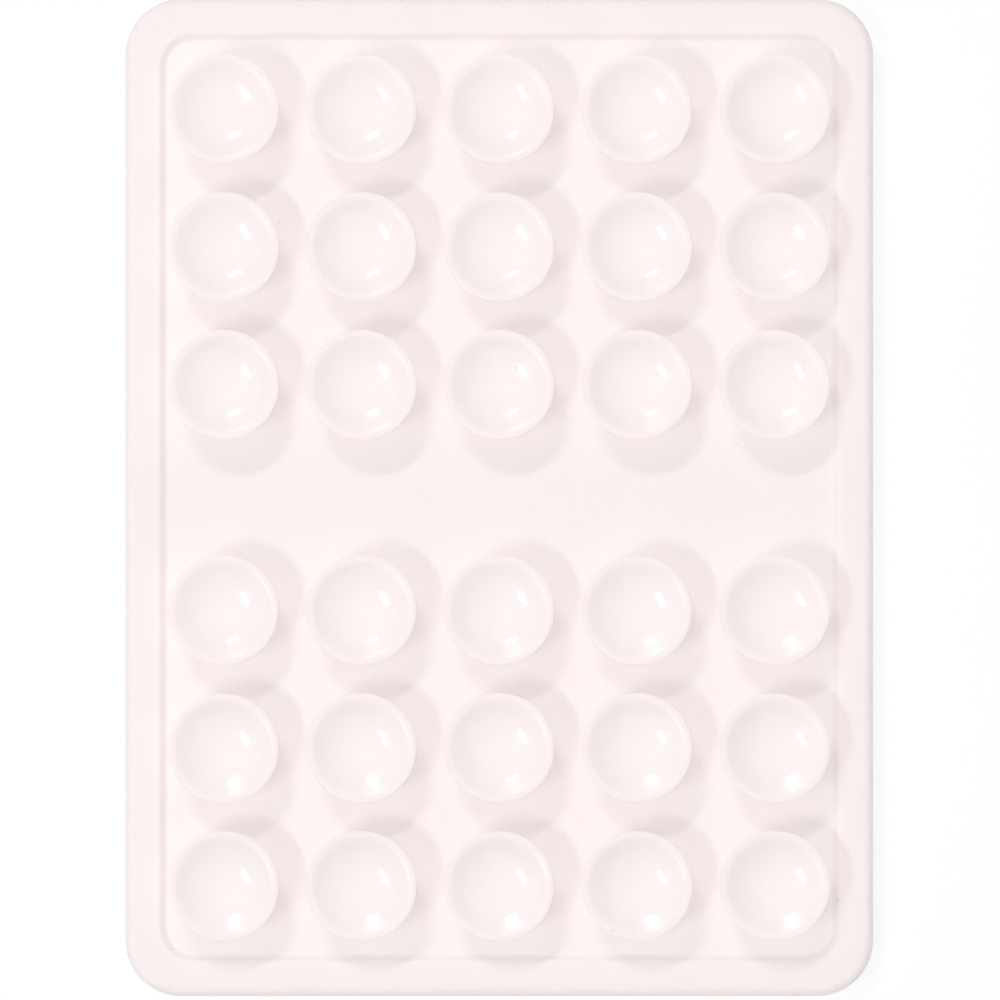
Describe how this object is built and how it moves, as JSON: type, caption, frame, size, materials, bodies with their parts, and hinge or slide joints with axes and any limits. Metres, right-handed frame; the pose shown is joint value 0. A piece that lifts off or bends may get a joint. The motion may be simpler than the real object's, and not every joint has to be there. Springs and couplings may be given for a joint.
{
  "type": "suction cup phone holder",
  "caption": "Thin rectangular silicone pad with a raised rim and two blocks of small suction cups, adhesive-backed, that sticks a phone to glass or tile.",
  "frame": {"origin": "middle of the release liner's lower face, with the holder lying on its back, cups up", "axes": "+X to the right across the short side, +Y along the long side, +Z out of the cups"},
  "size_m": [0.06, 0.08, 0.0054],
  "materials": {
    "silicone": "soft translucent white silicone with a faint pink cast, matt on the sheet and rim",
    "silicone_cup": "the same silicone, moulded glossy in the cups' hollows",
    "adhesive": "milky double-sided adhesive sheet with a cut edge",
    "liner_paper": "white release paper, smooth and slightly waxy"
  },
  "bodies": {
    "pad": {"silicone_pad": "silicone", "adhesive_sheet": "adhesive"},
    "liner": {"release_liner": "liner_paper"},
    "cup_r1_c1": {"suction_cup_r1_c1": "silicone_cup"},
    "cup_r1_c2": {"suction_cup_r1_c2": "silicone_cup"},
    "cup_r1_c3": {"suction_cup_r1_c3": "silicone_cup"},
    "cup_r1_c4": {"suction_cup_r1_c4": "silicone_cup"},
    "cup_r1_c5": {"suction_cup_r1_c5": "silicone_cup"},
    "cup_r2_c1": {"suction_cup_r2_c1": "silicone_cup"},
    "cup_r2_c2": {"suction_cup_r2_c2": "silicone_cup"},
    "cup_r2_c3": {"suction_cup_r2_c3": "silicone_cup"},
    "cup_r2_c4": {"suction_cup_r2_c4": "silicone_cup"},
    "cup_r2_c5": {"suction_cup_r2_c5": "silicone_cup"},
    "cup_r3_c1": {"suction_cup_r3_c1": "silicone_cup"},
    "cup_r3_c2": {"suction_cup_r3_c2": "silicone_cup"},
    "cup_r3_c3": {"suction_cup_r3_c3": "silicone_cup"},
    "cup_r3_c4": {"suction_cup_r3_c4": "silicone_cup"},
    "cup_r3_c5": {"suction_cup_r3_c5": "silicone_cup"},
    "cup_r4_c1": {"suction_cup_r4_c1": "silicone_cup"},
    "cup_r4_c2": {"suction_cup_r4_c2": "silicone_cup"},
    "cup_r4_c3": {"suction_cup_r4_c3": "silicone_cup"},
    "cup_r4_c4": {"suction_cup_r4_c4": "silicone_cup"},
    "cup_r4_c5": {"suction_cup_r4_c5": "silicone_cup"},
    "cup_r5_c1": {"suction_cup_r5_c1": "silicone_cup"},
    "cup_r5_c2": {"suction_cup_r5_c2": "silicone_cup"},
    "cup_r5_c3": {"suction_cup_r5_c3": "silicone_cup"},
    "cup_r5_c4": {"suction_cup_r5_c4": "silicone_cup"},
    "cup_r5_c5": {"suction_cup_r5_c5": "silicone_cup"},
    "cup_r6_c1": {"suction_cup_r6_c1": "silicone_cup"},
    "cup_r6_c2": {"suction_cup_r6_c2": "silicone_cup"},
    "cup_r6_c3": {"suction_cup_r6_c3": "silicone_cup"},
    "cup_r6_c4": {"suction_cup_r6_c4": "silicone_cup"},
    "cup_r6_c5": {"suction_cup_r6_c5": "silicone_cup"}
  },
  "joints": [
    {"name": "liner_peel", "type": "hinge", "parent": "pad", "child": "liner", "pos_m": [0, 0.039, 0.00006], "axis": [1, 0, 0], "range_deg": [0, 180]},
    {"name": "press_r1_c1", "type": "slide", "parent": "pad", "child": "cup_r1_c1", "axis": [0, 0, -1], "range_m": [0, 0.001], "stiffness_N_per_m": 1500, "deforming": ["suction_cup_r1_c1"]},
    {"name": "press_r1_c2", "type": "slide", "parent": "pad", "child": "cup_r1_c2", "axis": [0, 0, -1], "range_m": [0, 0.001], "stiffness_N_per_m": 1500, "deforming": ["suction_cup_r1_c2"]},
    {"name": "press_r1_c3", "type": "slide", "parent": "pad", "child": "cup_r1_c3", "axis": [0, 0, -1], "range_m": [0, 0.001], "stiffness_N_per_m": 1500, "deforming": ["suction_cup_r1_c3"]},
    {"name": "press_r1_c4", "type": "slide", "parent": "pad", "child": "cup_r1_c4", "axis": [0, 0, -1], "range_m": [0, 0.001], "stiffness_N_per_m": 1500, "deforming": ["suction_cup_r1_c4"]},
    {"name": "press_r1_c5", "type": "slide", "parent": "pad", "child": "cup_r1_c5", "axis": [0, 0, -1], "range_m": [0, 0.001], "stiffness_N_per_m": 1500, "deforming": ["suction_cup_r1_c5"]},
    {"name": "press_r2_c1", "type": "slide", "parent": "pad", "child": "cup_r2_c1", "axis": [0, 0, -1], "range_m": [0, 0.001], "stiffness_N_per_m": 1500, "deforming": ["suction_cup_r2_c1"]},
    {"name": "press_r2_c2", "type": "slide", "parent": "pad", "child": "cup_r2_c2", "axis": [0, 0, -1], "range_m": [0, 0.001], "stiffness_N_per_m": 1500, "deforming": ["suction_cup_r2_c2"]},
    {"name": "press_r2_c3", "type": "slide", "parent": "pad", "child": "cup_r2_c3", "axis": [0, 0, -1], "range_m": [0, 0.001], "stiffness_N_per_m": 1500, "deforming": ["suction_cup_r2_c3"]},
    {"name": "press_r2_c4", "type": "slide", "parent": "pad", "child": "cup_r2_c4", "axis": [0, 0, -1], "range_m": [0, 0.001], "stiffness_N_per_m": 1500, "deforming": ["suction_cup_r2_c4"]},
    {"name": "press_r2_c5", "type": "slide", "parent": "pad", "child": "cup_r2_c5", "axis": [0, 0, -1], "range_m": [0, 0.001], "stiffness_N_per_m": 1500, "deforming": ["suction_cup_r2_c5"]},
    {"name": "press_r3_c1", "type": "slide", "parent": "pad", "child": "cup_r3_c1", "axis": [0, 0, -1], "range_m": [0, 0.001], "stiffness_N_per_m": 1500, "deforming": ["suction_cup_r3_c1"]},
    {"name": "press_r3_c2", "type": "slide", "parent": "pad", "child": "cup_r3_c2", "axis": [0, 0, -1], "range_m": [0, 0.001], "stiffness_N_per_m": 1500, "deforming": ["suction_cup_r3_c2"]},
    {"name": "press_r3_c3", "type": "slide", "parent": "pad", "child": "cup_r3_c3", "axis": [0, 0, -1], "range_m": [0, 0.001], "stiffness_N_per_m": 1500, "deforming": ["suction_cup_r3_c3"]},
    {"name": "press_r3_c4", "type": "slide", "parent": "pad", "child": "cup_r3_c4", "axis": [0, 0, -1], "range_m": [0, 0.001], "stiffness_N_per_m": 1500, "deforming": ["suction_cup_r3_c4"]},
    {"name": "press_r3_c5", "type": "slide", "parent": "pad", "child": "cup_r3_c5", "axis": [0, 0, -1], "range_m": [0, 0.001], "stiffness_N_per_m": 1500, "deforming": ["suction_cup_r3_c5"]},
    {"name": "press_r4_c1", "type": "slide", "parent": "pad", "child": "cup_r4_c1", "axis": [0, 0, -1], "range_m": [0, 0.001], "stiffness_N_per_m": 1500, "deforming": ["suction_cup_r4_c1"]},
    {"name": "press_r4_c2", "type": "slide", "parent": "pad", "child": "cup_r4_c2", "axis": [0, 0, -1], "range_m": [0, 0.001], "stiffness_N_per_m": 1500, "deforming": ["suction_cup_r4_c2"]},
    {"name": "press_r4_c3", "type": "slide", "parent": "pad", "child": "cup_r4_c3", "axis": [0, 0, -1], "range_m": [0, 0.001], "stiffness_N_per_m": 1500, "deforming": ["suction_cup_r4_c3"]},
    {"name": "press_r4_c4", "type": "slide", "parent": "pad", "child": "cup_r4_c4", "axis": [0, 0, -1], "range_m": [0, 0.001], "stiffness_N_per_m": 1500, "deforming": ["suction_cup_r4_c4"]},
    {"name": "press_r4_c5", "type": "slide", "parent": "pad", "child": "cup_r4_c5", "axis": [0, 0, -1], "range_m": [0, 0.001], "stiffness_N_per_m": 1500, "deforming": ["suction_cup_r4_c5"]},
    {"name": "press_r5_c1", "type": "slide", "parent": "pad", "child": "cup_r5_c1", "axis": [0, 0, -1], "range_m": [0, 0.001], "stiffness_N_per_m": 1500, "deforming": ["suction_cup_r5_c1"]},
    {"name": "press_r5_c2", "type": "slide", "parent": "pad", "child": "cup_r5_c2", "axis": [0, 0, -1], "range_m": [0, 0.001], "stiffness_N_per_m": 1500, "deforming": ["suction_cup_r5_c2"]},
    {"name": "press_r5_c3", "type": "slide", "parent": "pad", "child": "cup_r5_c3", "axis": [0, 0, -1], "range_m": [0, 0.001], "stiffness_N_per_m": 1500, "deforming": ["suction_cup_r5_c3"]},
    {"name": "press_r5_c4", "type": "slide", "parent": "pad", "child": "cup_r5_c4", "axis": [0, 0, -1], "range_m": [0, 0.001], "stiffness_N_per_m": 1500, "deforming": ["suction_cup_r5_c4"]},
    {"name": "press_r5_c5", "type": "slide", "parent": "pad", "child": "cup_r5_c5", "axis": [0, 0, -1], "range_m": [0, 0.001], "stiffness_N_per_m": 1500, "deforming": ["suction_cup_r5_c5"]},
    {"name": "press_r6_c1", "type": "slide", "parent": "pad", "child": "cup_r6_c1", "axis": [0, 0, -1], "range_m": [0, 0.001], "stiffness_N_per_m": 1500, "deforming": ["suction_cup_r6_c1"]},
    {"name": "press_r6_c2", "type": "slide", "parent": "pad", "child": "cup_r6_c2", "axis": [0, 0, -1], "range_m": [0, 0.001], "stiffness_N_per_m": 1500, "deforming": ["suction_cup_r6_c2"]},
    {"name": "press_r6_c3", "type": "slide", "parent": "pad", "child": "cup_r6_c3", "axis": [0, 0, -1], "range_m": [0, 0.001], "stiffness_N_per_m": 1500, "deforming": ["suction_cup_r6_c3"]},
    {"name": "press_r6_c4", "type": "slide", "parent": "pad", "child": "cup_r6_c4", "axis": [0, 0, -1], "range_m": [0, 0.001], "stiffness_N_per_m": 1500, "deforming": ["suction_cup_r6_c4"]},
    {"name": "press_r6_c5", "type": "slide", "parent": "pad", "child": "cup_r6_c5", "axis": [0, 0, -1], "range_m": [0, 0.001], "stiffness_N_per_m": 1500, "deforming": ["suction_cup_r6_c5"]}
  ]
}
